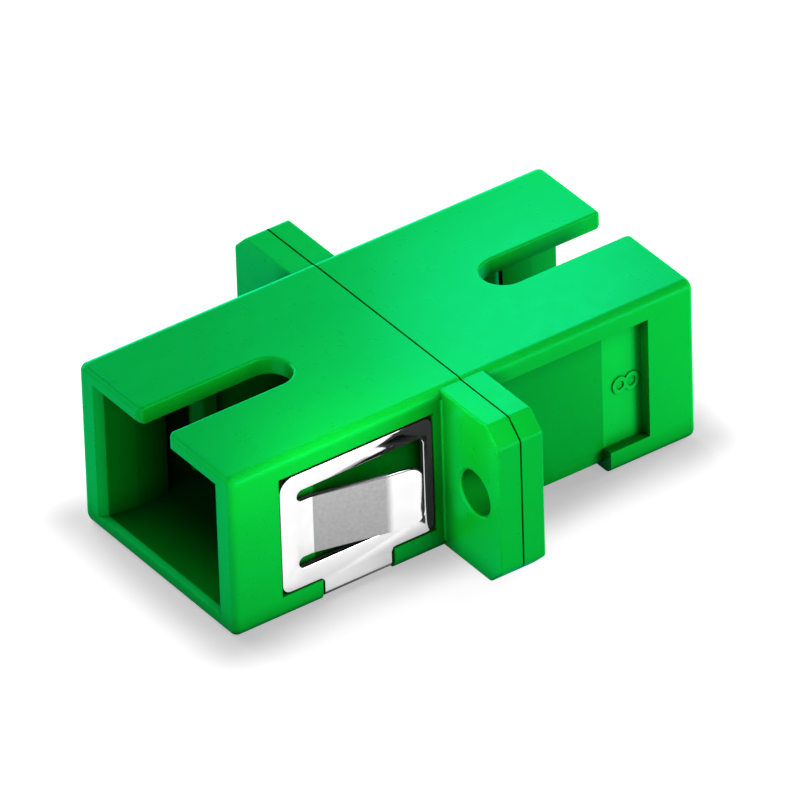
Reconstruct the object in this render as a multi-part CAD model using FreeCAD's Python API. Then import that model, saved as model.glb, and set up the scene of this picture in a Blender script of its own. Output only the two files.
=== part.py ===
import FreeCAD, Part
import math
import os

# SC simplex fibre adapter: two welded housing halves, two latch carriers, a split sleeve and a
# panel clip. Millimetres. The origin is the middle of the alignment sleeve, on the weld plane.
# +Y runs along the fibre towards the rear port, +Z points to the keyway side, and X runs across
# the flange. Each moulding is modelled as its front copy, and the rear copy is the same moulding
# turned half a turn about Z.

# ---- Driving dimensions: plug and ferrule that the adapter receives ----
PLUG_WIDTH = 9.0
PLUG_HEIGHT = 7.4
PLUG_CLEARANCE = 0.05
FERRULE_DIAMETER = 2.5

# ---- Driving dimensions: housing ----
BODY_WIDTH = 12.9
BODY_HEIGHT = 9.4
BODY_LENGTH = 27.8
LONG_EDGE_RADIUS = 0.5
MOUTH_EDGE_RADIUS = 0.35
MOUTH_SIDE_WALL = 1.2
LEAD_IN_WALL = 1.7
LEAD_IN_STEP = 0.3
LEAD_IN_LENGTH = 1.95
MOUTH_RELIEF = 0.17
GUIDE_LENGTH = 3.73
LATCH_BAY_WIDTH = 10.2

FLANGE_WIDTH = 22.2
FLANGE_THICKNESS = 2.7
FLANGE_STEP = 0.07
FLANGE_CORNER = 0.95
FLANGE_CORNER_RADIUS = 0.3
FLANGE_EDGE_RADIUS = 0.12
FLANGE_ROOT_RADIUS = 0.12
SEAM_GAP = 0.1
SEAM_DEPTH = 0.3
SCREW_EDGE = 2.1
SCREW_HOLE_DIAMETER = 2.4
SCREW_RIM = 0.14

KEYWAY_WIDTH = 2.4
KEYWAY_LENGTH = 8.03
KEYWAY_MOUTH_RADIUS = 0.35
KEYWAY_EDGE_RADIUS = 0.15

POCKET_MOUTH_OFFSET = 2.83
POCKET_FLANGE_OFFSET = 0.52
POCKET_DEPTH = 0.6
POCKET_DEEP_END = 0.95
POCKET_TOP_RAIL = 1.13
POCKET_BOTTOM_RAIL = 1.29
POCKET_SEAT_LENGTH = 2.4
CHANNEL_LENGTH = 4.3
GROOVE_DEPTH = 0.35
CHANNEL_CORNER = 0.35

# ---- Driving dimensions: latch carrier ----
CARRIER_WIDTH = 11.0
CARRIER_HEIGHT = 8.0
CARRIER_THICKNESS = 1.1
CARRIER_CORNER = 0.4
CARRIER_CLEARANCE = 0.05
BARREL_DIAMETER = 4.7
BARREL_LIP = 1.0
BARREL_TIP_CHAMFER = 0.3
BARREL_FOOT_CHAMFER = 0.3
LIP_BORE_CLEARANCE = 0.2
LIP_LEAD_IN = 0.3
ARM_GAP = 7.1
ARM_THICKNESS = 0.8
ARM_HEIGHT = 4.5
ARM_REACH = 9.4
ARM_ROOT_RADIUS = 0.4
HOOK_DEPTH = 0.45
HOOK_LENGTH = 1.3
HOOK_LEAD_ANGLE = 42.0
HOOK_NOSE_RADIUS = 0.35
PEG_DIAMETER = 1.0
PEG_HEIGHT = 0.6
PEG_SPACING = 8.9
PEG_CLEARANCE = 0.05

# ---- Driving dimensions: alignment sleeve ----
SLEEVE_LENGTH = 11.4
SLEEVE_WALL = 0.35
SLEEVE_SLOT = 0.5
SLEEVE_EDGE_CHAMFER = 0.12
SLEEVE_RADIAL_CLEARANCE = 0.075
SLEEVE_END_CLEARANCE = 0.05

# ---- Driving dimensions: panel clip ----
CLIP_SHEET = 0.3
CLIP_FACE_GAP = 0.25
CLIP_EDGE_GAP = 0.08
CLIP_TOP_GAP = 0.18
CLIP_STRIP_GAP = 0.15
CLIP_BEND_RADIUS = 0.25
CLIP_MOUTH_TOP_RADIUS = 0.8
CLIP_CORNER_RADIUS = 0.5
CLIP_TAB_ROOT_RADIUS = 0.3
CLIP_MOUTH_BAR = 1.0
CLIP_FLANGE_BAR = 0.55
CLIP_TOP_BAR = 1.0
CLIP_BOTTOM_BAR = 1.1
CLIP_SLOT = 0.65
CLIP_WINDOW_RADIUS = 0.4
TONGUE_FIRST_BEND = 0.8
TONGUE_SECOND_BEND = 4.03
TONGUE_TIP = 1.8
TONGUE_SLOPE = 0.24
TONGUE_TIP_SLOPE = 0.17
TONGUE_BEND_RADIUS = 0.4
TONGUE_CORNER_RADIUS = 0.75

# ---- Sizes that follow ----
HALF_WIDTH = BODY_WIDTH / 2
HALF_HEIGHT = BODY_HEIGHT / 2
HALF_LENGTH = BODY_LENGTH / 2
HALF_FLANGE = FLANGE_THICKNESS / 2
SCREW_PITCH = FLANGE_WIDTH - 2 * SCREW_EDGE
GUIDE_HALF_WIDTH = PLUG_WIDTH / 2 + PLUG_CLEARANCE
GUIDE_HALF_HEIGHT = PLUG_HEIGHT / 2 + PLUG_CLEARANCE
POCKET_FLOOR = HALF_WIDTH - POCKET_DEPTH
POCKET_MOUTH_Y = -HALF_LENGTH + POCKET_MOUTH_OFFSET
POCKET_FLANGE_Y = -HALF_FLANGE - POCKET_FLANGE_OFFSET
POCKET_TOP_Z = HALF_HEIGHT - POCKET_TOP_RAIL
POCKET_BOTTOM_Z = -HALF_HEIGHT + POCKET_BOTTOM_RAIL
CHANNEL_MOUTH_Y = POCKET_MOUTH_Y + POCKET_SEAT_LENGTH
CHANNEL_FLANGE_Y = CHANNEL_MOUTH_Y + CHANNEL_LENGTH
GROOVE_Z = -HALF_HEIGHT + GROOVE_DEPTH
SLEEVE_RADIUS = FERRULE_DIAMETER / 2 + SLEEVE_WALL
SLEEVE_SEAT_RADIUS = SLEEVE_RADIUS + SLEEVE_RADIAL_CLEARANCE
SLEEVE_SEAT_DEPTH = SLEEVE_LENGTH / 2 + SLEEVE_END_CLEARANCE
BARREL_REACH = SLEEVE_SEAT_DEPTH + BARREL_LIP
CLIP_INNER_X = POCKET_FLOOR + CLIP_FACE_GAP
CLIP_OUTER_X = CLIP_INNER_X + CLIP_SHEET
CLIP_MOUTH_Y = POCKET_MOUTH_Y + CLIP_EDGE_GAP
CLIP_FLANGE_Y = POCKET_FLANGE_Y - CLIP_EDGE_GAP
CLIP_TOP_Z = POCKET_TOP_Z - CLIP_TOP_GAP
CLIP_BOTTOM_Z = POCKET_BOTTOM_Z + CLIP_EDGE_GAP
STRIP_MOUTH_Y = CHANNEL_MOUTH_Y + CLIP_STRIP_GAP
STRIP_FLANGE_Y = CHANNEL_FLANGE_Y - CLIP_STRIP_GAP
STRIP_BOTTOM_Z = GROOVE_Z - CLIP_SHEET
WINDOW_MOUTH_Y = CLIP_MOUTH_Y + CLIP_MOUTH_BAR
WINDOW_FLANGE_Y = CLIP_FLANGE_Y - CLIP_FLANGE_BAR
WINDOW_TOP_Z = CLIP_TOP_Z - CLIP_TOP_BAR
WINDOW_BOTTOM_Z = CLIP_BOTTOM_Z + CLIP_BOTTOM_BAR
TONGUE_TOP_Z = WINDOW_TOP_Z - CLIP_SLOT
TONGUE_BOTTOM_Z = WINDOW_BOTTOM_Z + CLIP_SLOT
OVERRUN = 1.0
TOLERANCE = 1e-6


def box(x0, x1, y0, y1, z0, z1):
    """Block between two opposite corners."""
    return Part.makeBox(x1 - x0, y1 - y0, z1 - z0, FreeCAD.Vector(x0, y0, z0))


def rod(radius, y0, y1, x=0.0):
    """Cylinder along Y between y0 and y1."""
    return Part.makeCylinder(radius, y1 - y0, FreeCAD.Vector(x, y0, 0), FreeCAD.Vector(0, 1, 0))


def corner_arc(before, point, after, radius):
    """Start, middle and end of the arc that rounds one corner of an outline."""
    inward = (before - point).normalize()
    outward = (after - point).normalize()
    half_angle = inward.getAngle(outward) / 2
    reach = radius / math.tan(half_angle)
    bisector = (inward + outward).normalize()
    centre = point + bisector * (radius / math.sin(half_angle))
    return point + inward * reach, centre - bisector * radius, point + outward * reach


def outline(corners):
    """Closed wire through (point, radius) corners, with a tangent arc where the radius isn't zero."""
    points = [point for point, _ in corners]
    stations = []
    for index, (point, radius) in enumerate(corners):
        after = points[(index + 1) % len(points)]
        if radius > 0:
            stations.append(corner_arc(points[index - 1], point, after, radius))
        else:
            stations.append((point, None, point))
    edges = []
    for index, (start, middle, end) in enumerate(stations):
        if middle is not None:
            edges.append(Part.Arc(start, middle, end).toShape())
        following = stations[(index + 1) % len(stations)][0]
        if (following - end).Length > TOLERANCE:
            edges.append(Part.LineSegment(end, following).toShape())
    return Part.Wire(edges)


def prism_xy(corners, z0, z1):
    """Solid between z0 and z1 over an outline of (x, y, radius) corners."""
    wire = outline([(FreeCAD.Vector(x, y, z0), radius) for x, y, radius in corners])
    return Part.Face(wire).extrude(FreeCAD.Vector(0, 0, z1 - z0))


def prism_xz(corners, y0, y1):
    """Solid between y0 and y1 over an outline of (x, z, radius) corners."""
    wire = outline([(FreeCAD.Vector(x, y0, z), radius) for x, z, radius in corners])
    return Part.Face(wire).extrude(FreeCAD.Vector(0, y1 - y0, 0))


def prism_yz(corners, x0, x1):
    """Solid between x0 and x1 over an outline of (y, z, radius) corners."""
    wire = outline([(FreeCAD.Vector(x0, y, z), radius) for y, z, radius in corners])
    return Part.Face(wire).extrude(FreeCAD.Vector(x1 - x0, 0, 0))


def revolved(corners):
    """Solid of revolution about Y over an outline of (radius, y, corner radius) corners."""
    wire = outline([(FreeCAD.Vector(x, y, 0), radius) for x, y, radius in corners])
    return Part.Face(wire).revolve(FreeCAD.Vector(0, 0, 0), FreeCAD.Vector(0, 1, 0), 360)


def mirror_x(shape):
    """Mirror image across the YZ plane."""
    return shape.mirror(FreeCAD.Vector(0, 0, 0), FreeCAD.Vector(1, 0, 0))


def turned(shape):
    """Copy turned half a turn about Z, which makes the rear moulding from the front one."""
    copy = shape.copy()
    copy.rotate(FreeCAD.Vector(0, 0, 0), FreeCAD.Vector(0, 0, 1), 180)
    return copy


def edges_in_plane(shape, axis, value):
    """Edges that lie wholly in the plane where the axis (0, 1 or 2) has this value."""
    found = []
    for edge in shape.Edges:
        if all(abs(vertex.Point[axis] - value) < TOLERANCE for vertex in edge.Vertexes):
            if abs(edge.CenterOfMass[axis] - value) < TOLERANCE:
                found.append(edge)
    return found


def edges_along(shape, axis):
    """Straight edges parallel to the axis (0, 1 or 2)."""
    found = []
    for edge in shape.Edges:
        if isinstance(edge.Curve, Part.Line) and abs(abs(edge.Curve.Direction[axis]) - 1) < TOLERANCE:
            found.append(edge)
    return found


# ---- Housing half ----

def body_block():
    """Outside of the rectangular body, from the port's mouth to the weld plane."""
    block = box(-HALF_WIDTH, HALF_WIDTH, -HALF_LENGTH, 0, -HALF_HEIGHT, HALF_HEIGHT)
    block = block.makeFillet(LONG_EDGE_RADIUS, edges_along(block, 1))
    return block.makeFillet(MOUTH_EDGE_RADIUS, edges_in_plane(block, 1, -HALF_LENGTH))


def flange_outline(inset, radius):
    """(x, z, radius) corners of the flange with its cut corners, moved inwards by an inset."""
    x = FLANGE_WIDTH / 2 - inset
    z = HALF_HEIGHT - FLANGE_STEP - inset
    cut = FLANGE_CORNER
    corners = [(-x, cut - z), (cut - x, -z), (x - cut, -z), (x, cut - z),
               (x, z - cut), (x - cut, z), (cut - x, z), (-x, z - cut)]
    return [(across, up, radius) for across, up in corners]


def flange_block():
    """Half of the flange, a little lower than the body, with cut corners and rounded edges."""
    block = prism_xz(flange_outline(0, FLANGE_CORNER_RADIUS), -HALF_FLANGE, 0)
    return block.makeFillet(FLANGE_EDGE_RADIUS, edges_in_plane(block, 1, -HALF_FLANGE))


def seam():
    """Half of the narrow gap all round the weld, outside the faces that are welded."""
    around = box(-FLANGE_WIDTH, FLANGE_WIDTH, -SEAM_GAP / 2, OVERRUN, -BODY_HEIGHT, BODY_HEIGHT)
    welded = prism_xz(flange_outline(SEAM_DEPTH, 0), -OVERRUN, 2 * OVERRUN)
    return around.cut(welded)


def flange_root():
    """Concave fillet between the body's +X side and the flange, over the side's flat height."""
    inside = HALF_WIDTH - LONG_EDGE_RADIUS
    end = -HALF_FLANGE - FLANGE_ROOT_RADIUS
    plan = [(inside, 0, 0), (inside, end, 0), (HALF_WIDTH, end, 0),
            (HALF_WIDTH, -HALF_FLANGE, FLANGE_ROOT_RADIUS),
            (HALF_WIDTH + FLANGE_ROOT_RADIUS, -HALF_FLANGE, 0), (HALF_WIDTH + FLANGE_ROOT_RADIUS, 0, 0)]
    return prism_xy(plan, LONG_EDGE_RADIUS - HALF_HEIGHT, HALF_HEIGHT - LONG_EDGE_RADIUS)


def port_cavity():
    """Plug guide with its flared mouth, and the wider bay where the latch arms flex."""
    stations = [(-HALF_LENGTH, HALF_WIDTH - MOUTH_SIDE_WALL, GUIDE_HALF_HEIGHT + MOUTH_RELIEF),
                (-HALF_LENGTH + LEAD_IN_STEP, HALF_WIDTH - LEAD_IN_WALL, GUIDE_HALF_HEIGHT),
                (-HALF_LENGTH + LEAD_IN_LENGTH, GUIDE_HALF_WIDTH, GUIDE_HALF_HEIGHT)]
    wires = []
    for y, x, z in stations:
        points = [FreeCAD.Vector(-x, y, -z), FreeCAD.Vector(x, y, -z),
                  FreeCAD.Vector(x, y, z), FreeCAD.Vector(-x, y, z)]
        wires.append(Part.makePolygon(points + points[:1]))
    flare = Part.makeLoft(wires, True, True)
    guide = box(-GUIDE_HALF_WIDTH, GUIDE_HALF_WIDTH, -HALF_LENGTH, 0,
                -GUIDE_HALF_HEIGHT, GUIDE_HALF_HEIGHT)
    bay = box(-LATCH_BAY_WIDTH / 2, LATCH_BAY_WIDTH / 2, -HALF_LENGTH + GUIDE_LENGTH, 0,
              -GUIDE_HALF_HEIGHT, GUIDE_HALF_HEIGHT)
    return flare.fuse([guide, bay])


def carrier_recess():
    """Pocket at the weld plane that traps the plate of the latch carrier."""
    half_width = CARRIER_WIDTH / 2 + CARRIER_CLEARANCE
    half_height = CARRIER_HEIGHT / 2 + CARRIER_CLEARANCE
    return box(-half_width, half_width, -CARRIER_THICKNESS, OVERRUN, -half_height, half_height)


def keyway():
    """Slot in the top wall for the plug's key, round at its end and rounded open at the mouth."""
    half = KEYWAY_WIDTH / 2
    flare = KEYWAY_MOUTH_RADIUS
    end = -HALF_LENGTH + KEYWAY_LENGTH
    slot = prism_xy([(-half, end, half), (half, end, half), (half, -HALF_LENGTH, 0),
                     (-half, -HALF_LENGTH, 0)], 0, HALF_HEIGHT + OVERRUN)
    corner = box(half, half + flare, -HALF_LENGTH, -HALF_LENGTH + flare, 0, HALF_HEIGHT + OVERRUN)
    round_off = Part.makeCylinder(flare, HALF_HEIGHT + OVERRUN,
                                  FreeCAD.Vector(half + flare, -HALF_LENGTH + flare, 0))
    corner = corner.cut(round_off)
    return slot.fuse([corner, mirror_x(corner)])


def keyway_rim(shell):
    """Upper edges of the keyway, which are softened."""
    reach = KEYWAY_WIDTH / 2 + TOLERANCE
    return [edge for edge in edges_in_plane(shell, 2, HALF_HEIGHT)
            if all(abs(vertex.Point.x) < reach for vertex in edge.Vertexes)
            and edge.CenterOfMass.y < -HALF_FLANGE]


def screw_hole(x):
    """Through hole in a flange ear, with a small bevelled rim on the outer face."""
    radius = SCREW_HOLE_DIAMETER / 2
    section = [(0, -HALF_FLANGE, 0), (radius + SCREW_RIM, -HALF_FLANGE, 0),
               (radius, -HALF_FLANGE + SCREW_RIM, 0), (radius, OVERRUN, 0), (0, OVERRUN, 0)]
    hole = revolved(section)
    hole.translate(FreeCAD.Vector(x, 0, 0))
    return hole


def clip_pocket():
    """Recess in the +X side for the clip's side plate, with its ramp and the strip's channel."""
    outside = HALF_WIDTH + OVERRUN
    deep = HALF_WIDTH - POCKET_DEEP_END
    plan = [(outside, POCKET_MOUTH_Y, 0), (POCKET_FLOOR, POCKET_MOUTH_Y, 0),
            (POCKET_FLOOR, CHANNEL_MOUTH_Y, 0), (deep, POCKET_FLANGE_Y, 0),
            (outside, POCKET_FLANGE_Y, 0)]
    pocket = prism_xy(plan, POCKET_BOTTOM_Z, POCKET_TOP_Z)
    channel = prism_xy(plan, -HALF_HEIGHT - OVERRUN, 0).common(
        box(0, outside, CHANNEL_MOUTH_Y, CHANNEL_FLANGE_Y, -HALF_HEIGHT - OVERRUN, 0))
    return pocket.fuse(channel)


def strip_groove():
    """Groove across the underside for the clip's strip, with rounded shoulders at both sides."""
    around = box(-HALF_WIDTH - OVERRUN, HALF_WIDTH + OVERRUN, CHANNEL_MOUTH_Y, CHANNEL_FLANGE_Y,
                 -HALF_HEIGHT - OVERRUN, GROOVE_Z + CHANNEL_CORNER)
    left_standing = [(-POCKET_FLOOR, GROOVE_Z, CHANNEL_CORNER), (POCKET_FLOOR, GROOVE_Z, CHANNEL_CORNER),
                     (POCKET_FLOOR, 0, 0), (-POCKET_FLOOR, 0, 0)]
    return around.cut(prism_xz(left_standing, CHANNEL_MOUTH_Y - OVERRUN, CHANNEL_FLANGE_Y + OVERRUN))


def housing_half():
    """Front moulding: shell, half flange, port, keyway, screw holes and clip pockets."""
    root = flange_root()
    shell = body_block().fuse([flange_block(), root, mirror_x(root)])
    pocket = clip_pocket()
    tools = [seam(), port_cavity(), carrier_recess(), pocket, mirror_x(pocket), strip_groove(),
             screw_hole(SCREW_PITCH / 2), screw_hole(-SCREW_PITCH / 2)]
    for tool in tools:
        shell = shell.cut(tool)
    shell = shell.cut(keyway()).removeSplitter()
    return shell.makeFillet(KEYWAY_EDGE_RADIUS, keyway_rim(shell))


# ---- Latch carrier ----

def carrier_plate():
    """Square plate that the two housing halves clamp at the weld plane."""
    x = CARRIER_WIDTH / 2
    z = CARRIER_HEIGHT / 2
    corners = [(-x, -z, CARRIER_CORNER), (x, -z, CARRIER_CORNER),
               (x, z, CARRIER_CORNER), (-x, z, CARRIER_CORNER)]
    return prism_xz(corners, -CARRIER_THICKNESS, 0)


def barrel():
    """Outside of the sleeve barrel: a bevelled tip and a bevelled foot on the plate."""
    radius = BARREL_DIAMETER / 2
    foot = radius + BARREL_FOOT_CHAMFER
    return revolved([(0, -BARREL_REACH, 0), (radius - BARREL_TIP_CHAMFER, -BARREL_REACH, 0),
                     (radius, -BARREL_REACH + BARREL_TIP_CHAMFER, 0),
                     (radius, -CARRIER_THICKNESS - BARREL_FOOT_CHAMFER, 0),
                     (foot, -CARRIER_THICKNESS, 0), (foot, 0, 0), (0, 0, 0)])


def barrel_bore():
    """Seat for half of the sleeve, and the smaller hole with a lead-in that lets the ferrule in."""
    lip = FERRULE_DIAMETER / 2 + LIP_BORE_CLEARANCE
    return revolved([(0, -BARREL_REACH, 0), (lip + LIP_LEAD_IN, -BARREL_REACH, 0),
                     (lip, -BARREL_REACH + LIP_LEAD_IN, 0), (lip, -SLEEVE_SEAT_DEPTH, 0),
                     (SLEEVE_SEAT_RADIUS, -SLEEVE_SEAT_DEPTH, 0), (SLEEVE_SEAT_RADIUS, OVERRUN, 0),
                     (0, OVERRUN, 0)])


def latch_arm():
    """Flexible arm on the +X side with an inward hook that holds the plug's shoulder."""
    inner = ARM_GAP / 2
    outer = inner + ARM_THICKNESS
    hook = inner - HOOK_DEPTH
    tip = -ARM_REACH
    ramp = (outer - hook) * math.tan(math.radians(HOOK_LEAD_ANGLE)) / 2
    middle = (outer + hook) / 2
    root = ARM_ROOT_RADIUS
    face = -CARRIER_THICKNESS
    plan = [(outer + root, 0, 0), (outer + root, face, 0), (outer, face, root),
            (outer, tip + ramp, HOOK_NOSE_RADIUS), (middle, tip, HOOK_NOSE_RADIUS),
            (hook, tip + ramp, HOOK_NOSE_RADIUS), (hook, tip + HOOK_LENGTH, 0),
            (inner, tip + HOOK_LENGTH + HOOK_DEPTH / 2, 0), (inner, face, root),
            (inner - root, face, 0), (inner - root, 0, 0)]
    return prism_xy(plan, -ARM_HEIGHT / 2, ARM_HEIGHT / 2)


def locating_peg():
    """Round peg beyond the weld plane that enters the other carrier's socket."""
    return rod(PEG_DIAMETER / 2, -CARRIER_THICKNESS / 2, PEG_HEIGHT, x=PEG_SPACING / 2)


def locating_socket():
    """Socket for the other carrier's peg."""
    depth = PEG_HEIGHT + PEG_CLEARANCE
    return rod(PEG_DIAMETER / 2 + PEG_CLEARANCE, -depth, OVERRUN, x=-PEG_SPACING / 2)


def latch_carrier():
    """Inner moulding: plate, sleeve barrel, two latch arms, a locating peg and a socket."""
    arm = latch_arm()
    carrier = carrier_plate().fuse([barrel(), arm, mirror_x(arm)])
    carrier = carrier.cut(barrel_bore()).cut(locating_socket())
    return carrier.fuse(locating_peg()).removeSplitter()


# ---- Alignment sleeve ----

def alignment_sleeve():
    """Split zirconia tube that lines up the two ferrules, slot on top."""
    half = SLEEVE_LENGTH / 2
    bevel = SLEEVE_EDGE_CHAMFER
    tube = rod(SLEEVE_RADIUS, -half, half)
    tube = tube.makeChamfer(bevel, [edge for edge in tube.Edges if isinstance(edge.Curve, Part.Circle)])
    tube = tube.cut(rod(FERRULE_DIAMETER / 2, -half - OVERRUN, half + OVERRUN))
    slot = box(-SLEEVE_SLOT / 2, SLEEVE_SLOT / 2, -half - OVERRUN, half + OVERRUN,
               0, SLEEVE_RADIUS + OVERRUN)
    return tube.cut(slot)


# ---- Panel clip ----

def clip_band():
    """Strip under the body with its two bends, up to the side plates."""
    outer_bend = CLIP_BEND_RADIUS + CLIP_SHEET
    rise = GROOVE_Z + outer_bend
    outer = [(-CLIP_OUTER_X, rise, 0), (-CLIP_OUTER_X, STRIP_BOTTOM_Z, outer_bend),
             (CLIP_OUTER_X, STRIP_BOTTOM_Z, outer_bend), (CLIP_OUTER_X, rise, 0)]
    inner = [(-CLIP_INNER_X, rise, 0), (-CLIP_INNER_X, GROOVE_Z, CLIP_BEND_RADIUS),
             (CLIP_INNER_X, GROOVE_Z, CLIP_BEND_RADIUS), (CLIP_INNER_X, rise, 0)]
    return prism_xz(outer, STRIP_MOUTH_Y, STRIP_FLANGE_Y).cut(
        prism_xz(inner, STRIP_MOUTH_Y, STRIP_FLANGE_Y))


def clip_plate():
    """Side plate on +X with its rounded outline, the tab towards the strip and the window."""
    tab_end = GROOVE_Z + CLIP_BEND_RADIUS
    frame = [(CLIP_MOUTH_Y, CLIP_TOP_Z, CLIP_MOUTH_TOP_RADIUS),
             (CLIP_MOUTH_Y, CLIP_BOTTOM_Z, CLIP_CORNER_RADIUS),
             (STRIP_MOUTH_Y, CLIP_BOTTOM_Z, CLIP_TAB_ROOT_RADIUS),
             (STRIP_MOUTH_Y, tab_end, 0), (STRIP_FLANGE_Y, tab_end, 0),
             (STRIP_FLANGE_Y, CLIP_BOTTOM_Z, CLIP_TAB_ROOT_RADIUS),
             (CLIP_FLANGE_Y, CLIP_BOTTOM_Z, CLIP_CORNER_RADIUS),
             (CLIP_FLANGE_Y, CLIP_TOP_Z, CLIP_CORNER_RADIUS)]
    plate = prism_yz(frame, CLIP_INNER_X, CLIP_OUTER_X)
    return plate.cut(clip_window())


def clip_window():
    """Window of a side plate: two round-ended slots beside the tongue's root, open at its tip."""
    near = CLIP_INNER_X - OVERRUN
    far = CLIP_OUTER_X + OVERRUN
    end = CLIP_SLOT / 2
    upper = [(WINDOW_MOUTH_Y, WINDOW_TOP_Z, end), (WINDOW_MOUTH_Y, TONGUE_TOP_Z, end),
             (WINDOW_FLANGE_Y, TONGUE_TOP_Z, 0), (WINDOW_FLANGE_Y, WINDOW_TOP_Z, CLIP_WINDOW_RADIUS)]
    lower = [(WINDOW_MOUTH_Y, TONGUE_BOTTOM_Z, end), (WINDOW_MOUTH_Y, WINDOW_BOTTOM_Z, end),
             (WINDOW_FLANGE_Y, WINDOW_BOTTOM_Z, CLIP_WINDOW_RADIUS), (WINDOW_FLANGE_Y, TONGUE_BOTTOM_Z, 0)]
    tongue_room = box(near, far, WINDOW_MOUTH_Y + end, WINDOW_FLANGE_Y, TONGUE_BOTTOM_Z, TONGUE_TOP_Z)
    return prism_yz(upper, near, far).fuse([prism_yz(lower, near, far), tongue_room])


def clip_tongue():
    """Spring tongue on +X: it leaves the mouth bar and slopes out towards the flange in two bends."""
    start = WINDOW_MOUTH_Y
    first = start + TONGUE_FIRST_BEND
    second = first + TONGUE_SECOND_BEND
    tip = second + TONGUE_TIP
    knee = CLIP_OUTER_X + TONGUE_SECOND_BEND * TONGUE_SLOPE
    end = knee + TONGUE_TIP * TONGUE_TIP_SLOPE
    outer = [(CLIP_OUTER_X, start), (CLIP_OUTER_X, first), (knee, second), (end, tip)]
    inner = offset_path(outer, CLIP_SHEET)
    plan = [(outer[0][0], outer[0][1], 0),
            (outer[1][0], outer[1][1], TONGUE_BEND_RADIUS),
            (outer[2][0], outer[2][1], TONGUE_BEND_RADIUS + CLIP_SHEET),
            (outer[3][0], outer[3][1], 0),
            (inner[3][0], inner[3][1], 0),
            (inner[2][0], inner[2][1], TONGUE_BEND_RADIUS),
            (inner[1][0], inner[1][1], TONGUE_BEND_RADIUS + CLIP_SHEET),
            (inner[0][0], inner[0][1], 0)]
    tongue = prism_xy(plan, TONGUE_BOTTOM_Z, TONGUE_TOP_Z)
    shape = [(start, TONGUE_TOP_Z, 0), (tip, TONGUE_TOP_Z, TONGUE_CORNER_RADIUS),
             (tip, TONGUE_BOTTOM_Z, TONGUE_CORNER_RADIUS), (start, TONGUE_BOTTOM_Z, 0)]
    return tongue.common(prism_yz(shape, 0, CLIP_OUTER_X + BODY_WIDTH))


def offset_path(path, distance):
    """Path moved sideways towards -X by a distance, with mitred corners."""
    normals = []
    for (x0, y0), (x1, y1) in zip(path, path[1:]):
        length = math.hypot(x1 - x0, y1 - y0)
        normals.append((-(y1 - y0) / length, (x1 - x0) / length))
    moved = []
    for index, (x, y) in enumerate(path):
        before = normals[max(index - 1, 0)]
        after = normals[min(index, len(normals) - 1)]
        scale = distance / (1 + before[0] * after[0] + before[1] * after[1])
        moved.append((x + (before[0] + after[0]) * scale, y + (before[1] + after[1]) * scale))
    return moved


def panel_clip():
    """Folded spring sheet: strip, side plates and tongues, symmetric about the YZ plane."""
    side = clip_plate().fuse(clip_tongue())
    return clip_band().fuse([side, mirror_x(side)]).removeSplitter()


def save(name, shape):
    """Write one node and print its volume."""
    shape.exportStep(os.path.join("parts", name + ".step"))
    print(f"{name}: {len(shape.Solids)} solid, valid {shape.isValid()}, {shape.Volume:.3f} mm3")


def main():
    """Build each piece and write it to its own file."""
    os.makedirs("parts", exist_ok=True)
    front_housing = housing_half()
    front_carrier = latch_carrier()
    save("front_housing", front_housing)
    save("rear_housing", turned(front_housing))
    save("front_latch_carrier", front_carrier)
    save("rear_latch_carrier", turned(front_carrier))
    save("alignment_sleeve", alignment_sleeve())
    save("panel_clip", panel_clip())


main()
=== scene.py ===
"""Dress the packed fibre adapter: moulded plastic halves, a spring clip and a zirconia sleeve.

Sizes are in metres, apart from those that a finish compares with its coordinates, which are in
millimetres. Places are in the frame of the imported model: +Y runs along the fibre towards the rear
port, +Z points to the keyway side and +X runs across the flange.
"""

import logging
import math
from dataclasses import dataclass
from enum import Enum

import bmesh
import bpy
from mathutils import Matrix, Vector

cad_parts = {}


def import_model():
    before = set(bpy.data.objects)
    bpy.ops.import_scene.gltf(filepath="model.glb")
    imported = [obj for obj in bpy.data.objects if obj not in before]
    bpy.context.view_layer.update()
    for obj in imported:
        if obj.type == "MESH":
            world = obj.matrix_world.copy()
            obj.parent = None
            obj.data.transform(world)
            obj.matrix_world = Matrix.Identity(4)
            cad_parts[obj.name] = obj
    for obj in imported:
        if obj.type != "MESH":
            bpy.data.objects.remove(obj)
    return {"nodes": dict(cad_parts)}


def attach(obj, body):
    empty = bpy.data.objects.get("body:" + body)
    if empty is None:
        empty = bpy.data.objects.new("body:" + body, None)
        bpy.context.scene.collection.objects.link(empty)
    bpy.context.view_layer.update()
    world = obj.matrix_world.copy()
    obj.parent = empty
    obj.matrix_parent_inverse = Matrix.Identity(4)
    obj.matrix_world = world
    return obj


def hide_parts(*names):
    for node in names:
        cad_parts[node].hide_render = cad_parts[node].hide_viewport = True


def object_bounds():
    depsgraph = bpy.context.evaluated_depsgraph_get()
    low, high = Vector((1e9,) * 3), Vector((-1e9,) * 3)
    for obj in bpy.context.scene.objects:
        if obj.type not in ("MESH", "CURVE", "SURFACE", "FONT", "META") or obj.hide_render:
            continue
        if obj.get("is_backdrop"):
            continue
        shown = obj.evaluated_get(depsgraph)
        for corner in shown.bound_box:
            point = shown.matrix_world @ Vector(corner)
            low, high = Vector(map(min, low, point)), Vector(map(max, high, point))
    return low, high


LOG = logging.getLogger("fibre_adapter")

MM = 0.001
MERGE_DISTANCE = MM / 10000
BODY = "root"
TOP_HEIGHT = 0.0047
FLANGE_FACE = -0.00135
GLANCE = (235.5, 35.2)
BLACK = (0.0, 0.0, 0.0)
WHITE = (1.0, 1.0, 1.0)
UP = Vector((0.0, 0.0, 1.0))
NOISE_ROUGHNESS = 0.55
NOISE_MIDDLE = (0.3, 0.7)
MIX_FIRST = 6
MIX_SECOND = 7
MIX_RESULT = 2

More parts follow.
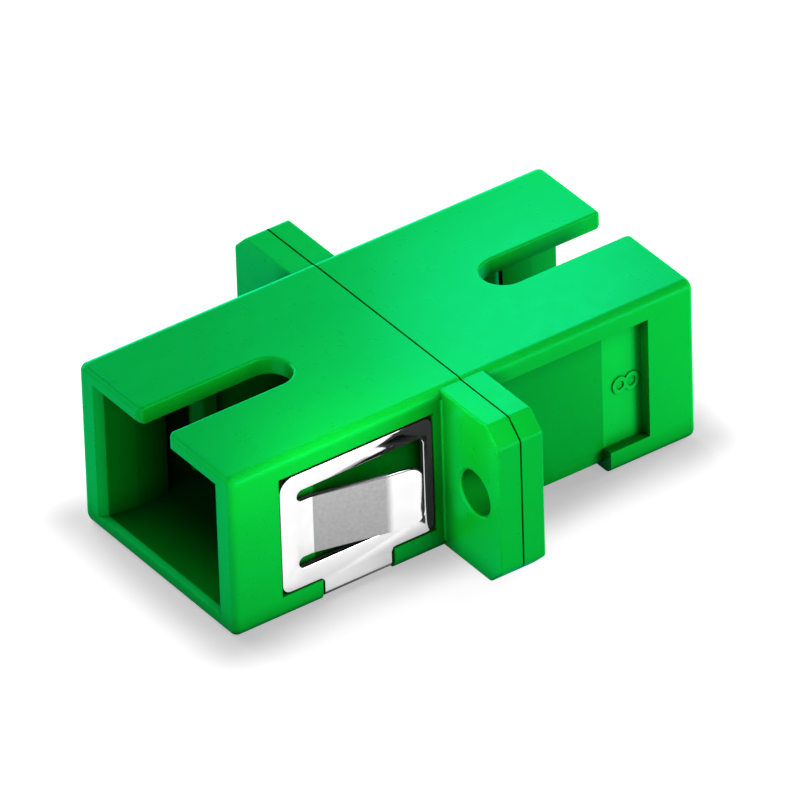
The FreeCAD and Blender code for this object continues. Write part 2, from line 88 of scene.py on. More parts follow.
Triple = tuple[float, float, float]
Colour = Triple
Place = Triple
Span = tuple[float, float]
Socket = bpy.types.NodeSocket


class Slot(Enum):
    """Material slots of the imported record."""

    HOUSING = "housing"
    SPRING_SHEET = "spring_sheet"


class Ray(Enum):
    """Outputs of the Light Path node."""

    CAMERA = "Is Camera Ray"
    DIFFUSE = "Is Diffuse Ray"
    GLOSSY = "Is Glossy Ray"
    TRANSMISSION = "Is Transmission Ray"


SEEN_RAYS = (Ray.CAMERA, Ray.GLOSSY, Ray.TRANSMISSION)
BOUNCED_RAYS = (Ray.DIFFUSE, Ray.GLOSSY)


@dataclass(frozen=True)
class Pattern:
    """Noise on a surface: features in a millimetre, octaves of finer noise and factors by axis."""

    per_mm: float
    detail: float
    stretch: Triple = (1.0, 1.0, 1.0)


class Graph:
    """A material's or world's node tree, with short calls that add and join nodes."""

    def __init__(self, owner: bpy.types.Material | bpy.types.World) -> None:
        """Empty the owner's tree.

        Args:
            owner: Material or world whose nodes are written.
        """
        owner.use_nodes = True
        self.tree = owner.node_tree
        self.tree.nodes.clear()

    def add(self, kind: str, **sockets: object) -> bpy.types.Node:
        """Add a node and set its sockets or properties.

        Args:
            kind: Node type, such as "ShaderNodeBump".
            sockets: Values by name. An underscore stands for a space in a socket's name.

        Returns:
            The new node.
        """
        node = self.tree.nodes.new(kind)
        for name, value in sockets.items():
            label = name.replace("_", " ")
            if label in node.inputs:
                self.feed(node.inputs[label], value)
            else:
                setattr(node, name, value)
        return node

    def feed(self, socket: Socket, value: object) -> None:
        """Join an output to a socket, or set the socket's own value.

        Args:
            socket: Input socket.
            value: Output socket, number, vector or colour.
        """
        if isinstance(value, Socket):
            self.tree.links.new(value, socket)
        elif isinstance(value, tuple) and socket.type == "RGBA":
            socket.default_value = (*value, 1.0)
        else:
            socket.default_value = value

    def millimetres(self, stretch: Triple = (1.0, 1.0, 1.0)) -> Socket:
        """Object coordinates in millimetres.

        Args:
            stretch: Factor by axis; a pattern is longer along an axis with a small factor.

        Returns:
            Vector output.
        """
        place = self.add("ShaderNodeTexCoord")
        scale = tuple(factor / MM for factor in stretch)
        mapping = self.add("ShaderNodeMapping", Vector=place.outputs["Object"], Scale=scale)
        return mapping.outputs["Vector"]

    def axes(self) -> dict[str, Socket]:
        """Object coordinates in millimetres, apart.

        Returns:
            Value outputs by the name of their axis.
        """
        node = self.add("ShaderNodeSeparateXYZ", Vector=self.millimetres())
        return {axis: node.outputs[axis] for axis in "XYZ"}

    def noise(self, pattern: Pattern) -> Socket:
        """Noise between 0 and 1.

        Args:
            pattern: Its scale, detail and stretch.

        Returns:
            Value output.
        """
        node = self.add("ShaderNodeTexNoise", Vector=self.millimetres(pattern.stretch),
                        Scale=pattern.per_mm, Detail=pattern.detail, Roughness=NOISE_ROUGHNESS)
        return node.outputs["Fac"]

    def spread(self, value: Socket, span: Span) -> Socket:
        """Map the useful middle of a noise value onto a span.

        Args:
            value: Noise value.
            span: Results for the noise's low end and high end.

        Returns:
            Value output.
        """
        node = self.add("ShaderNodeMapRange", Value=value, From_Min=NOISE_MIDDLE[0],
                        From_Max=NOISE_MIDDLE[1], To_Min=span[0], To_Max=span[1])
        return node.outputs["Result"]

    def blend(self, factor: Socket, first: Colour | Socket, second: Colour | Socket) -> Socket:
        """Mix two colours.

        Args:
            factor: 0 gives the first colour and 1 the second.
            first: Linear colour.
            second: Linear colour.

        Returns:
            Colour output.
        """
        node = self.add("ShaderNodeMix", data_type="RGBA")
        self.feed(node.inputs["Factor"], factor)
        self.feed(node.inputs[MIX_FIRST], first)
        self.feed(node.inputs[MIX_SECOND], second)
        return node.outputs[MIX_RESULT]

    def mottle(self, pattern: Pattern, first: Colour, second: Colour) -> Socket:
        """Wander between two colours over a surface.

        Args:
            pattern: Noise that the colours follow.
            first: Linear colour.
            second: Linear colour.

        Returns:
            Colour output.
        """
        return self.blend(self.spread(self.noise(pattern), (0.0, 1.0)), first, second)

    def maths(self, operation: str, *values: float | Socket) -> Socket:
        """Calculate with one or two values.

        Args:
            operation: Blender's name for the operation.
            values: Numbers or outputs, in order.

        Returns:
            Value output.
        """
        node = self.add("ShaderNodeMath", operation=operation)
        for socket, value in zip(node.inputs, values):
            self.feed(socket, value)
        return node.outputs[0]

    def product(self, first: Socket, *others: Socket) -> Socket:
        """Multiply values.

        Args:
            first: Value.
            others: Values that it is multiplied by.

        Returns:
            Value output.
        """
        total = first
        for other in others:
            total = self.maths("MULTIPLY", total, other)
        return total

    def length(self, first: Socket, second: Socket) -> Socket:
        """Length of the longest side of a right triangle.

        Args:
            first: Length of one short side.
            second: Length of the other.

        Returns:
            Value output.
        """
        squares = [self.product(side, side) for side in (first, second)]
        return self.maths("SQRT", self.maths("ADD", *squares))

    def fade(self, value: Socket, span: Span) -> Socket:
        """Rise softly from 0 to 1 while a value's size goes from one number to another.

        Args:
            value: Value whose sign doesn't matter.
            span: Size at which the share is 0, and size at which it is 1.

        Returns:
            Value output.
        """
        size = self.maths("ABSOLUTE", value)
        soft = self.add("ShaderNodeMapRange", interpolation_type="SMOOTHSTEP", Value=size,
                        From_Min=span[0], From_Max=span[1])
        return soft.outputs["Result"]

    def larger(self, value: Socket, limit: float) -> Socket:
        """Value that is 1 where another's size is over a limit.

        Args:
            value: Value whose sign doesn't matter.
            limit: The limit.

        Returns:
            Value output.
        """
        return self.maths("GREATER_THAN", self.maths("ABSOLUTE", value), limit)

    def smaller(self, value: Socket, limit: float) -> Socket:
        """Value that is 1 where another's size is under a limit.

        Args:
            value: Value whose sign doesn't matter.
            limit: The limit.

        Returns:
            Value output.
        """
        return self.maths("LESS_THAN", self.maths("ABSOLUTE", value), limit)

    def without(self, share: Socket, amount: float | Socket) -> Socket:
        """Take a share of an amount away from 1.

        Args:
            share: Value from 0 to 1.
            amount: What is taken away where the share is 1.

        Returns:
            Value output.
        """
        return self.maths("SUBTRACT", 1.0, self.maths("MULTIPLY", share, amount))

    def rays(self, kinds: tuple[Ray, ...]) -> Socket:
        """Value that is 1 for rays of any of some kinds.

        Args:
            kinds: The kinds.

        Returns:
            Value output.
        """
        path = self.add("ShaderNodeLightPath")
        total = path.outputs[kinds[0].value]
        for kind in kinds[1:]:
            total = self.maths("MAXIMUM", total, path.outputs[kind.value])
        return total

    def bump(self, height: Socket, depth: float, strength: float) -> Socket:
        """Raise the surface by a height value.

        Args:
            height: Height between 0 and 1.
            depth: Full depth in metres.
            strength: Share of the bump that is used.

        Returns:
            Normal output.
        """
        node = self.add("ShaderNodeBump", Height=height, Distance=depth, Strength=strength)
        return node.outputs["Normal"]

    def join(self, kind: str, first: bpy.types.Node, second: bpy.types.Node,
             **sockets: object) -> Socket:
        """Combine two shaders.

        Args:
            kind: Type of the node that combines them.
            first: Shader node.
            second: Shader node.
            sockets: The combining node's other values by name.

        Returns:
            Shader output.
        """
        node = self.add(kind, **sockets)
        self.feed(node.inputs[-2], first.outputs[0])
        self.feed(node.inputs[-1], second.outputs[0])
        return node.outputs[0]

    def finish(self, shader: Socket, kind: str = "ShaderNodeOutputMaterial") -> None:
        """Join the last shader to the tree's output.

        Args:
            shader: Shader output.
            kind: Type of the output node.
        """
        self.add(kind, Surface=shader)


@dataclass(frozen=True)
class MouldedPlastic:
    """Injection-moulded plastic with slow random changes of tone, painted shade in its creases and
    hollows, and a painted sheen on the side pockets' seats.

    Rays that come from another surface see a dark painted bounce colour, so that the part throws
    little green and mirrors dark in the metal. The painted shades' places and sizes are in
    millimetres. A span of sizes gives where a painted shade starts and where it is full, and each
    shade is the share of the colour that it takes away.
    """

    name: str
    colour: Colour
    deep_colour: Colour
    sheen_tint: Colour
    roughness: Span
    # painted shade: bounced rays see this dark colour in place of the green
    painted_bounce_colour: Colour = (0.03, 0.032, 0.031)
    # painted sheen: the side pockets' seats are coloured lighter
    painted_seat_sheen: Colour = (0.003, 0.6, 0.035)
    refraction: float = 1.53
    flow: Pattern = Pattern(0.35, 3.0, (0.9, 0.25, 0.9))
    patch: Pattern = Pattern(1.6, 2.0)
    # painted shade in creases: an ambient occlusion node darkens the colour and sheen within this
    # reach
    painted_crease_reach: float = 1.5 * MM
    painted_crease_samples: int = 16
    # painted shade inside the two ports: one behind the mouth, a deeper one further in, lighter at
    # the rear
    port_half_width: Span = (5.42, 5.22)
    port_half_height: Span = (4.0, 3.5)
    port_middle: float = -0.15
    mouth_depth: Span = (13.9, 13.4)
    painted_mouth_shade: float = 0.38
    bay_depth: Span = (13.9, 9.6)
    painted_bay_shade: float = 0.9
    painted_rear_port_share: float = 0.6
    pocket_width: Span = (5.3, 5.95)
    pocket_length: Span = (1.8, 8.67)
    pocket_half_height: float = 3.62
    # painted shade on the side pockets' floors, deeper in the front pocket behind the clip
    painted_open_pocket_shade: float = 0.09
    painted_clip_pocket_shade: float = 0.5
    seat_length: Span = (8.67, 11.1)
    # painted shade in the two screw holes
    screw_place: float = 9.0
    screw_radius: float = 1.23
    painted_bore_shade: float = 0.5
    half_blend: float = 1.0

    def material(self) -> bpy.types.Material:
        """Build the material.

        Returns:
            The new material.
        """
        made = bpy.data.materials.new(self.name)
        graph = Graph(made)
        moulded = graph.mottle(self.flow, self.colour, self.deep_colour)
        # painted sheen on the side pockets' seats
        colour_with_painted_sheen = graph.blend(self.pocket(graph, self.seat_length), moulded, self.painted_seat_sheen)
        # painted shade: this factor darkens both the colour and the sheen
        light = self.painted_shade(graph)
        bounced = graph.rays(BOUNCED_RAYS)
        # painted shade: bounced rays see the dark bounce colour
        colour = graph.blend(bounced, graph.blend(light, BLACK, colour_with_painted_sheen), self.painted_bounce_colour)
        tint = graph.blend(bounced, graph.blend(light, BLACK, self.sheen_tint), self.painted_bounce_colour)
        rough = graph.spread(graph.noise(self.patch), self.roughness)
        body = graph.add("ShaderNodeBsdfPrincipled", Base_Color=colour, Roughness=rough,
                         Specular_IOR_Level=0.0)
        sheen = graph.add("ShaderNodeBsdfGlossy", Color=tint, Roughness=rough)
        share = graph.add("ShaderNodeFresnel", IOR=self.refraction)
        graph.finish(graph.join("ShaderNodeMixShader", body, sheen, Fac=share.outputs[0]))
        return made

    def painted_shade(self, graph: Graph) -> Socket:
        """Painted shade: 1 on an outer face, less in creases, ports, side pockets and screw holes.

        Args:
            graph: Tree that the nodes join.

        Returns:
            Value output.
        """
        painted_crease_shade = graph.add("ShaderNodeAmbientOcclusion", samples=self.painted_crease_samples,
                           Distance=self.painted_crease_reach)
        # painted shade of the side pockets
        painted_pocket_shade = self.by_half(graph, self.painted_clip_pocket_shade, self.painted_open_pocket_shade)
        pocket = graph.without(self.pocket(graph, self.pocket_length), painted_pocket_shade)
        return graph.product(painted_crease_shade.outputs["AO"], self.painted_port_shade(graph), pocket,
                             self.painted_screw_shade(graph))

    def painted_port_shade(self, graph: Graph) -> Socket:
        """Painted shade of the two ports, as the share of colour kept: less behind the mouth, and
        less again further in.

        Args:
            graph: Tree that the nodes join.

        Returns:
            Value output.
        """
        axes = graph.axes()
        height = graph.maths("SUBTRACT", axes["Z"], self.port_middle)
        inside = graph.product(graph.fade(axes["X"], self.port_half_width),
                               graph.fade(height, self.port_half_height),
                               self.by_half(graph, 1.0, self.painted_rear_port_share))
        mouth = graph.product(inside, graph.fade(axes["Y"], self.mouth_depth))
        bay = graph.product(inside, graph.fade(axes["Y"], self.bay_depth))
        return graph.product(graph.without(mouth, self.painted_mouth_shade),
                             graph.without(bay, self.painted_bay_shade))

    def painted_screw_shade(self, graph: Graph) -> Socket:
        """Painted shade of the two screw holes, as the share of colour kept.

        Args:
            graph: Tree that the nodes join.

        Returns:
            Value output.
        """
        axes = graph.axes()
        aside = graph.maths("SUBTRACT", graph.maths("ABSOLUTE", axes["X"]), self.screw_place)
        bore = graph.smaller(graph.length(aside, axes["Z"]), self.screw_radius)
        return graph.without(bore, self.painted_bore_shade)

    def pocket(self, graph: Graph, length: Span) -> Socket:
        """Share that is 1 on a stretch of the side pockets.

        Args:
            graph: Tree that the nodes join.
            length: Distances from the flange's middle that the stretch lies between.

        Returns:
            Value output.
        """
        axes = graph.axes()
        share = graph.smaller(axes["Z"], self.pocket_half_height)
        for axis, (low, high) in (("X", self.pocket_width), ("Y", length)):
            share = graph.product(share, graph.larger(axes[axis], low),
                                  graph.smaller(axes[axis], high))
        return share

    def by_half(self, graph: Graph, front: float, rear: float) -> Socket:
        """Value that is one number on the front half and another on the rear half.

        Args:
            graph: Tree that the nodes join.
            front: Value on the front half.
            rear: Value on the rear half.

        Returns:
            Value output.
        """
        node = graph.add("ShaderNodeMapRange", Value=graph.axes()["Y"], To_Min=front, To_Max=rear,
                         From_Min=-self.half_blend, From_Max=self.half_blend)
        return node.outputs["Result"]


@dataclass(frozen=True)
class RolledSteel:
    """Bright spring sheet with fine rolling lines, satin tongues whose grey is a painted
    reflection, and painted shade on its bends.

    The places of the satin with its painted reflection, and of the bends' painted shade, are
    distances from the part's middle, in millimetres.
    """

    name: str
    colour: Colour = (0.97, 0.97, 0.97)
    cloud_colour: Colour = (0.92, 0.92, 0.93)
    painted_reflection_grey: Colour = (0.45, 0.45, 0.455)
    painted_reflection_grain: Colour = (0.38, 0.38, 0.385)
    painted_bend_colour: Colour = (0.02, 0.02, 0.02)
    roughness: Span = (0.05, 0.11)
    satin_roughness: float = 0.42
    lines: Pattern = Pattern(22.0, 4.0, (1.0, 0.05, 1.0))
    cloud: Pattern = Pattern(1.4, 2.0)
    grain: Pattern = Pattern(5.0, 4.0)
    line_depth: float = 0.0005 * MM
    line_strength: float = 0.3
    satin_root: Span = (4.95, 5.45)
    satin_tip: float = 9.19
    tongue_half_height: float = 1.75
    outer_face: float = 6.42
    bend_height: Span = (4.15, 4.3)
    bend_half_width: float = 5.8

    def material(self) -> bpy.types.Material:
        """Build the material.

        Returns:
            The new material.
        """
        made = bpy.data.materials.new(self.name)
        graph = Graph(made)
        lines = graph.noise(self.lines)
        satin_and_painted_reflection = self.satin_and_painted_reflection(graph)
        bright = graph.mottle(self.cloud, self.colour, self.cloud_colour)
        # painted reflection: the tongues' stretch between the bends is coloured grey
        painted_reflection_colour = graph.mottle(self.grain, self.painted_reflection_grey, self.painted_reflection_grain)
        face = graph.blend(satin_and_painted_reflection, bright, painted_reflection_colour)
        polish = graph.spread(lines, self.roughness)
        rough = graph.add("ShaderNodeMapRange", Value=satin_and_painted_reflection, To_Min=polish,
                          To_Max=self.satin_roughness)
        # painted shade: the bends are coloured nearly black
        shader = graph.add("ShaderNodeBsdfPrincipled", Metallic=1.0,
                           Base_Color=graph.blend(self.painted_bend_shade(graph), face, self.painted_bend_colour),
                           Roughness=rough.outputs["Result"],
                           Normal=graph.bump(lines, self.line_depth, self.line_strength))
        graph.finish(shader.outputs["BSDF"])
        return made

    def satin_and_painted_reflection(self, graph: Graph) -> Socket:
        """Share of satin finish and painted grey reflection: all of it between the two bends of a
        tongue.

        Args:
            graph: Tree that the nodes join.

        Returns:
            Value output.
        """
        axes = graph.axes()
        return graph.product(graph.smaller(axes["Y"], self.satin_tip),
                             graph.fade(axes["Y"], self.satin_root),
                             graph.smaller(axes["Z"], self.tongue_half_height),
                             graph.larger(axes["X"], self.outer_face))

    def painted_bend_shade(self, graph: Graph) -> Socket:
        """Share of painted shade on the sheet's bends.

        Args:
            graph: Tree that the nodes join.

        Returns:
            Value output.
        """
        axes = graph.axes()
        return graph.product(graph.larger(axes["X"], self.bend_half_width),
                             graph.fade(axes["Z"], self.bend_height))


@dataclass(frozen=True)
class GroundZirconia:
    """White ceramic, ground smooth, with faint grinding rings."""

    name: str
    colour: Colour = (0.86, 0.85, 0.81)
    warm_colour: Colour = (0.8, 0.78, 0.72)
    roughness: Span = (0.14, 0.26)
    refraction: float = 2.1
    rings: Pattern = Pattern(18.0, 3.0, (0.1, 1.0, 0.1))
    cloud: Pattern = Pattern(0.9, 2.0)
    ring_depth: float = 0.0008 * MM
    ring_strength: float = 0.4

    def material(self) -> bpy.types.Material:
        """Build the material.

        Returns:
            The new material.
        """
        made = bpy.data.materials.new(self.name)
        graph = Graph(made)
        rings = graph.noise(self.rings)
        shader = graph.add("ShaderNodeBsdfPrincipled", IOR=self.refraction,
                           Base_Color=graph.mottle(self.cloud, self.colour, self.warm_colour),
                           Roughness=graph.spread(rings, self.roughness),
                           Normal=graph.bump(rings, self.ring_depth, self.ring_strength))
        graph.finish(shader.outputs["BSDF"])
        return made


@dataclass(frozen=True)
class WhiteTable:
    """Matt white surface with a painted glow that paints a soft shadow round the part.

    The glow grows away from the part, so that the table ends in white. The part's footprint and
    the reach of the painted shadow are in millimetres.
    """

    name: str
    colour: Colour = (0.8, 0.8, 0.8)
    speck_colour: Colour = (0.788, 0.788, 0.788)
    speck: Pattern = Pattern(0.05, 2.0)
    # painted shadow: the glow is weaker near the part's footprint
    painted_shadow_glow: float = 0.42
    painted_far_glow: float = 0.84
    painted_shadow_reach: float = 3.4
    part_half_width: float = 6.45
    part_half_length: float = 13.9

    def material(self) -> bpy.types.Material:
        """Build the material.

        Returns:
            The new material.
        """
        made = bpy.data.materials.new(self.name)
        graph = Graph(made)
        matt = graph.add("ShaderNodeBsdfDiffuse",
                         Color=graph.mottle(self.speck, self.colour, self.speck_colour))
        # painted shadow round the part, from a glow that grows with distance
        painted_glow = graph.add("ShaderNodeMapRange", interpolation_type="SMOOTHSTEP",
                         Value=self.distance(graph), From_Max=self.painted_shadow_reach,
                         To_Min=self.painted_shadow_glow, To_Max=self.painted_far_glow)
        seen = graph.product(graph.rays(SEEN_RAYS), painted_glow.outputs["Result"])
        glow = graph.add("ShaderNodeEmission", Color=WHITE, Strength=seen)
        graph.finish(graph.join("ShaderNodeAddShader", matt, glow))
        return made

    def distance(self, graph: Graph) -> Socket:
        """Distance in millimetres from the part's footprint.

        Args:
            graph: Tree that the nodes join.

        Returns:
            Value output.
        """
        axes = graph.axes()
        outside = []
        for axis, half in (("X", self.part_half_width), ("Y", self.part_half_length)):
            past = graph.maths("SUBTRACT", graph.maths("ABSOLUTE", axes[axis]), half)
            outside.append(graph.maths("MAXIMUM", past, 0.0))
        return graph.length(*outside)


def new_piece(name: str, shape: bmesh.types.BMesh, finish: bpy.types.Material) -> bpy.types.Object:
    """Make a mesh object at the origin from a bmesh, which is freed.

    Args:
        name: Name of the piece.
        shape: Geometry in its place.
        finish: Its material.

    Returns:
        The linked object.
    """
    mesh = bpy.data.meshes.new(name)
    shape.to_mesh(mesh)
    shape.free()
    mesh.materials.append(finish)
    piece = bpy.data.objects.new(name, mesh)
    bpy.context.scene.collection.objects.link(piece)
    LOG.info("made %s with %d faces", name, len(mesh.polygons))
    return piece


def dress(node: bpy.types.Object, finish: bpy.types.Material) -> None:
    """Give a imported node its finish.

    Args:
        node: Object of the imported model.
        finish: Its material.
    """
    for place in node.material_slots:
        place.material = finish
    LOG.info("dressed %s in %s", node.name, finish.name)


@dataclass
class Housings:
    """The two welded outer mouldings."""

    nodes: dict[str, bpy.types.Object]
    names: tuple[str, str] = ("front_housing", "rear_housing")
    finish: MouldedPlastic = MouldedPlastic(
        name="housing_green", colour=(0.002, 0.46, 0.018), deep_colour=(0.0015, 0.43, 0.016),
        sheen_tint=(0.01, 1.0, 0.53), roughness=(0.27, 0.34))

    def build(self) -> None:
        """Dress both halves."""
        made = self.finish.material()
        for name in self.names:
            dress(self.nodes[name], made)


@dataclass
class CavityNumeral:
    """Raised numeral that tells the mould's cavity, lying on its side in the rear pocket.

    Extruding makes its side walls in an order that changes from run to run, so the faces are then
    put in order along a slanting direction.
    """

    text: str = "8"
    curve_steps: int = 8
    height: float = 1.6 * MM
    width: float = 1.05 * MM
    relief: float = 0.07 * MM
    sunk: float = 0.02 * MM
    along: float = 10.05 * MM
    up: float = -0.05 * MM
    pocket_floor: float = 5.85 * MM
    face_order: Triple = (1.0, 1.7, 2.3)
    finish: MouldedPlastic = Housings.finish

    def build(self) -> bpy.types.Object:
        """Make the numeral.

        Returns:
            The new piece.
        """
        shape = self.flat_shape()
        self.fit(shape)
        grown = bmesh.ops.extrude_face_region(shape, geom=list(shape.faces))
        top = [part for part in grown["geom"] if isinstance(part, bmesh.types.BMVert)]
        bmesh.ops.translate(shape, verts=top, vec=UP * (self.relief + self.sunk))
        shape.faces.sort(key=lambda face: face.calc_center_median().dot(self.face_order))
        bmesh.ops.recalc_face_normals(shape, faces=shape.faces)
        bmesh.ops.transform(shape, matrix=self.seat(), verts=shape.verts)
        piece = new_piece("cavity_numeral", shape, self.finish.material())
        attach(piece, BODY)
        return piece

    def flat_shape(self) -> bmesh.types.BMesh:
        """Make the figure as a flat mesh.

        Returns:
            The figure in the XY plane.
        """
        letters = bpy.data.curves.new("numeral", "FONT")
        letters.body = self.text
        letters.resolution_u = self.curve_steps
        sign = bpy.data.objects.new("numeral", letters)
        bpy.context.scene.collection.objects.link(sign)
        view = bpy.context.evaluated_depsgraph_get()
        flat = bpy.data.meshes.new_from_object(sign.evaluated_get(view))
        bpy.data.objects.remove(sign)
        shape = bmesh.new()
        shape.from_mesh(flat)
        bmesh.ops.remove_doubles(shape, verts=shape.verts, dist=MERGE_DISTANCE)
        return shape

    def fit(self, shape: bmesh.types.BMesh) -> None:
        """Centre a flat figure and scale it to its width and height.

        Args:
            shape: Figure in the XY plane.
        """
        across = [vert.co.x for vert in shape.verts]
        upward = [vert.co.y for vert in shape.verts]
        middle = Vector((max(across) + min(across), max(upward) + min(upward), 0.0)) / 2
        bmesh.ops.translate(shape, verts=shape.verts, vec=-middle)
        scale = Vector((self.width / (max(across) - min(across)),
                        self.height / (max(upward) - min(upward)), 1.0))
        bmesh.ops.scale(shape, verts=shape.verts, vec=scale)

    def seat(self) -> Matrix:
        """Turn and place of the figure: it faces +X and reads upwards, its top to the flange.

        Returns:
            Matrix from the XY plane to the pocket's floor.
        """
        turned = Matrix(((0.0, 0.0, 1.0), (0.0, -1.0, 0.0), (1.0, 0.0, 0.0))).to_4x4()
        return Matrix.Translation((self.pocket_floor - self.sunk, self.along, self.up)) @ turned


@dataclass
class LatchCarriers:
    """The two inner mouldings that hold the sleeve and the plug latches."""

    nodes: dict[str, bpy.types.Object]
    names: tuple[str, str] = ("front_latch_carrier", "rear_latch_carrier")
    # painted shade: the carriers' green is a darker copy of the housings' because they lie inside
    finish: MouldedPlastic = MouldedPlastic(
        name="carrier_green_painted_shade", colour=(0.002, 0.36, 0.014), deep_colour=(0.0015, 0.32, 0.012),
        sheen_tint=(0.01, 1.0, 0.53), roughness=(0.31, 0.38), painted_bay_shade=0.5)

    def build(self) -> None:
        """Dress both carriers."""
        made = self.finish.material()
        for name in self.names:
            dress(self.nodes[name], made)


@dataclass
class Sleeve:
    """The split sleeve between the two barrels."""

    nodes: dict[str, bpy.types.Object]
    name: str = "alignment_sleeve"
    finish: GroundZirconia = GroundZirconia("zirconia")

    def build(self) -> None:
        """Dress the sleeve."""
        dress(self.nodes[self.name], self.finish.material())


@dataclass
class PanelClip:
    """The folded spring sheet, with the rounded rims that stamping and tumbling leave."""

    nodes: dict[str, bpy.types.Object]
    name: str = "panel_clip"
    rim_radius: float = 0.04 * MM
    rim_steps: int = 2
    sharp_angle: float = math.radians(30.0)
    flat_angle: float = math.radians(0.05)
    finish: RolledSteel = RolledSteel("spring_steel")

    def build(self) -> bpy.types.Object:
        """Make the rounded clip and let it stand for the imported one.

        Returns:
            The new piece.
        """
        shape = bmesh.new()
        shape.from_mesh(self.nodes[self.name].data)
        bmesh.ops.remove_doubles(shape, verts=shape.verts, dist=MERGE_DISTANCE)
        bmesh.ops.dissolve_limit(shape, angle_limit=self.flat_angle, verts=shape.verts,
                                 edges=shape.edges)
        rims = [edge for edge in shape.edges if edge.calc_face_angle(0.0) > self.sharp_angle]
        bmesh.ops.bevel(shape, geom=rims, affect="EDGES", offset=self.rim_radius,
                        segments=self.rim_steps, profile=0.5, material=-1)
        piece = new_piece("clip_sheet", shape, self.finish.material())
        piece.data.shade_smooth()
        piece.data.set_sharp_from_angle(angle=self.sharp_angle)
        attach(piece, BODY)
        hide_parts(self.name)
        return piece


def towards(azimuth: float, elevation: float) -> Vector:
    """Unit vector from the part to a place round it.

    Args:
        azimuth: Degrees; 0 is the -Y side and 90 the +X side.
        elevation: Degrees above the horizon.

    Returns:
        The direction.
    """
    turn = math.radians(azimuth)
    rise = math.radians(elevation)
    return Vector((math.sin(turn) * math.cos(rise), -math.cos(turn) * math.cos(rise),
                   math.sin(rise)))


@dataclass(frozen=True)
class Softbox:
    """Square lamp that looks at the part, or at a place on it.

    A flagged lamp gives no light to the table, and one that isn't mirrored isn't seen in gloss.
    """

    name: str
    azimuth: float
    elevation: float
    brightness: float
    distance: float = 0.3
    side: float = 0.15
    target: Place = (0.0, 0.0, 0.0)
    flagged: bool = False
    mirrored: bool = True
    spread: float = 180.0

    def build(self, table_mask: bpy.types.Collection) -> None:
        """Add the lamp.

        Args:
            table_mask: Collection that keeps a flagged lamp's light off the table.
        """
        lamp = bpy.data.lights.new(self.name, "AREA")
        lamp.shape = "SQUARE"
        lamp.size = self.side
        lamp.spread = math.radians(self.spread)
        lamp.energy = math.pi * self.side ** 2 * self.brightness
        stand = bpy.data.objects.new(self.name, lamp)
        direction = towards(self.azimuth, self.elevation)
        stand.location = Vector(self.target) + direction * self.distance
        stand.rotation_mode = "QUATERNION"
        stand.rotation_quaternion = direction.to_track_quat("Z", "Y")
        stand.visible_camera = False
        stand.visible_glossy = self.mirrored
        if self.flagged:
            stand.light_linking.receiver_collection = table_mask
        bpy.context.scene.collection.objects.link(stand)


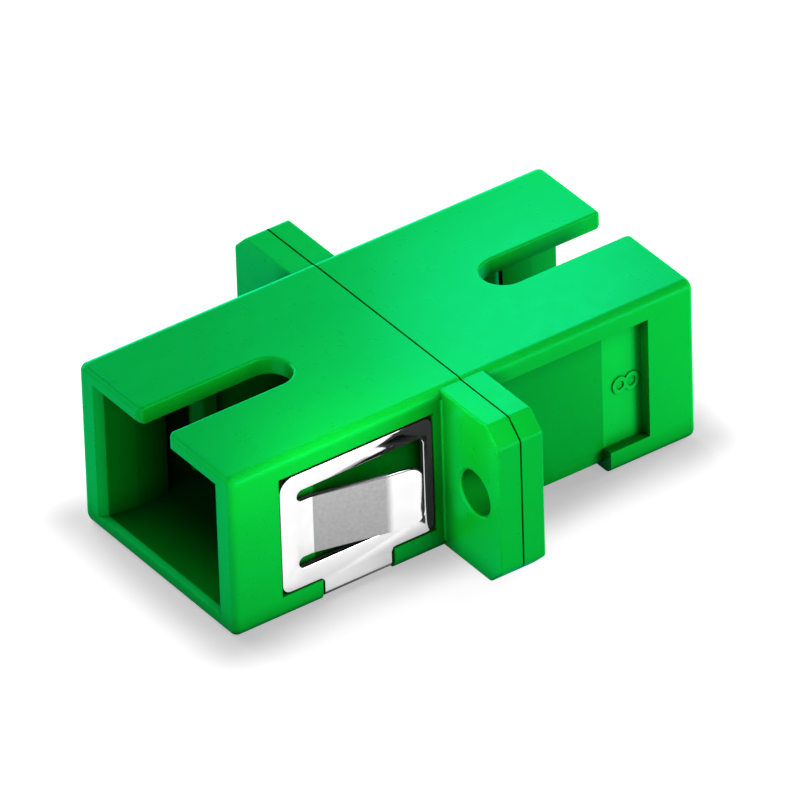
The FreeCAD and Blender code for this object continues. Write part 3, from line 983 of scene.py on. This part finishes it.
@dataclass
class Studio:
    """White table, pale surroundings and soft lamps.

    GLANCE is the direction whose light the part's top mirrors to the camera.
    """

    table_height: float
    table_size: float = 3.0
    softboxes: tuple[Softbox, ...] = (
        Softbox("low_rear", 180.0, 10.0, 8.2, mirrored=False),
        Softbox("low_left", 300.0, 10.0, 3.8),
        Softbox("low_front", 30.0, 10.0, 4.0, mirrored=False),
        Softbox("left", 270.0, 30.0, 5.0),
        Softbox("low_far", 240.0, 10.0, 3.5),
        Softbox("low_right", 120.0, 10.0, 3.0),
        Softbox("spot_rear_top", *GLANCE, 3.2, distance=0.05, side=0.02,
                target=(0.006, 0.013, TOP_HEIGHT), flagged=True),
        Softbox("spot_mid_top", *GLANCE, 2.4, distance=0.025, side=0.012,
                target=(0.006, 0.003, TOP_HEIGHT), flagged=True),
        Softbox("spot_front_top", *GLANCE, 0.5, distance=0.03, side=0.014,
                target=(0.006, -0.005, TOP_HEIGHT), flagged=True),
        Softbox("spot_flange", 15.0, 40.0, 3.4, distance=0.015, side=0.0075,
                target=(0.0085, FLANGE_FACE, 0.0025), flagged=True, mirrored=False, spread=95.0),
        Softbox("spot_flange_low", 10.0, 20.0, 1.2, distance=0.014, side=0.007,
                target=(0.0085, FLANGE_FACE, 0.001), flagged=True, mirrored=False),
        Softbox("spot_flange_side", 20.0, 35.0, 2.2, distance=0.04, side=0.015,
                target=(0.009, FLANGE_FACE, 0.001), flagged=True, mirrored=False),
        Softbox("spot_front_side", 100.0, 30.0, 1.1, distance=0.02, side=0.01,
                target=(0.0064, -0.011, 0.0), flagged=True, mirrored=False, spread=90.0),
        Softbox("spot_rear_side", 130.0, 10.0, 17.5, distance=0.04, side=0.015,
                target=(0.006, 0.010, 0.001), flagged=True, mirrored=False),
    )

    def build(self) -> None:
        """Add the table, the world and the lamps."""
        table_mask = bpy.data.collections.new("table_mask")
        table_mask.objects.link(self.table())
        table_mask.collection_objects[0].light_linking.link_state = "EXCLUDE"
        self.surroundings()
        for softbox in self.softboxes:
            softbox.build(table_mask)

    def table(self) -> bpy.types.Object:
        """Add the table top that the part stands on.

        Returns:
            The table top.
        """
        shape = bmesh.new()
        bmesh.ops.create_grid(shape, x_segments=1, y_segments=1, size=self.table_size / 2,
                              matrix=Matrix.Translation(UP * self.table_height))
        top = new_piece("table_top", shape, WhiteTable("table_white").material())
        top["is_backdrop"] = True
        return top

    def surroundings(self) -> None:
        """Surround the part with white that is seen, also in metal, and gives it no light."""
        world = bpy.data.worlds.new("pale_room")
        bpy.context.scene.world = world
        graph = Graph(world)
        room = graph.add("ShaderNodeBackground", Color=WHITE, Strength=graph.rays(SEEN_RAYS))
        graph.finish(room.outputs[0], "ShaderNodeOutputWorld")


@dataclass(frozen=True)
class ProductCamera:
    """Long lens that looks down on the near port and the clip's side."""

    azimuth: float = 55.489
    elevation: float = 35.193
    roll: float = -1.883
    distance: float = 0.7083
    aside: float = 0.000529
    above: float = -0.000036
    lens: float = 650.1
    sensor: float = 36.0
    nearest: float = 0.01
    farthest: float = 10.0

    def build(self) -> None:
        """Add the camera and make it the scene's own."""
        back = towards(self.azimuth, self.elevation)
        level_right = UP.cross(back).normalized()
        level_up = back.cross(level_right)
        turn = math.radians(self.roll)
        right = level_right * math.cos(turn) + level_up * math.sin(turn)
        up = level_up * math.cos(turn) - level_right * math.sin(turn)
        lens = bpy.data.cameras.new("product_camera")
        lens.lens = self.lens
        lens.sensor_width = self.sensor
        lens.clip_start = self.nearest
        lens.clip_end = self.farthest
        stand = bpy.data.objects.new("product_camera", lens)
        turned = Matrix((right, up, back)).transposed()
        place = right * self.aside + up * self.above + back * self.distance
        stand.matrix_world = Matrix.Translation(place) @ turned.to_4x4()
        bpy.context.scene.collection.objects.link(stand)
        bpy.context.scene.camera = stand


def main() -> None:
    """Dress the part, light it and place the camera."""
    logging.basicConfig(level=logging.INFO, format="%(message)s")
    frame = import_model()
    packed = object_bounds()
    nodes = frame["nodes"]
    Housings(nodes).build()
    CavityNumeral().build()
    LatchCarriers(nodes).build()
    Sleeve(nodes).build()
    PanelClip(nodes).build()
    Studio(table_height=packed[0].z).build()
    ProductCamera().build()
    bpy.context.scene.view_settings.view_transform = "Standard"


if __name__ == "__main__":
    main()
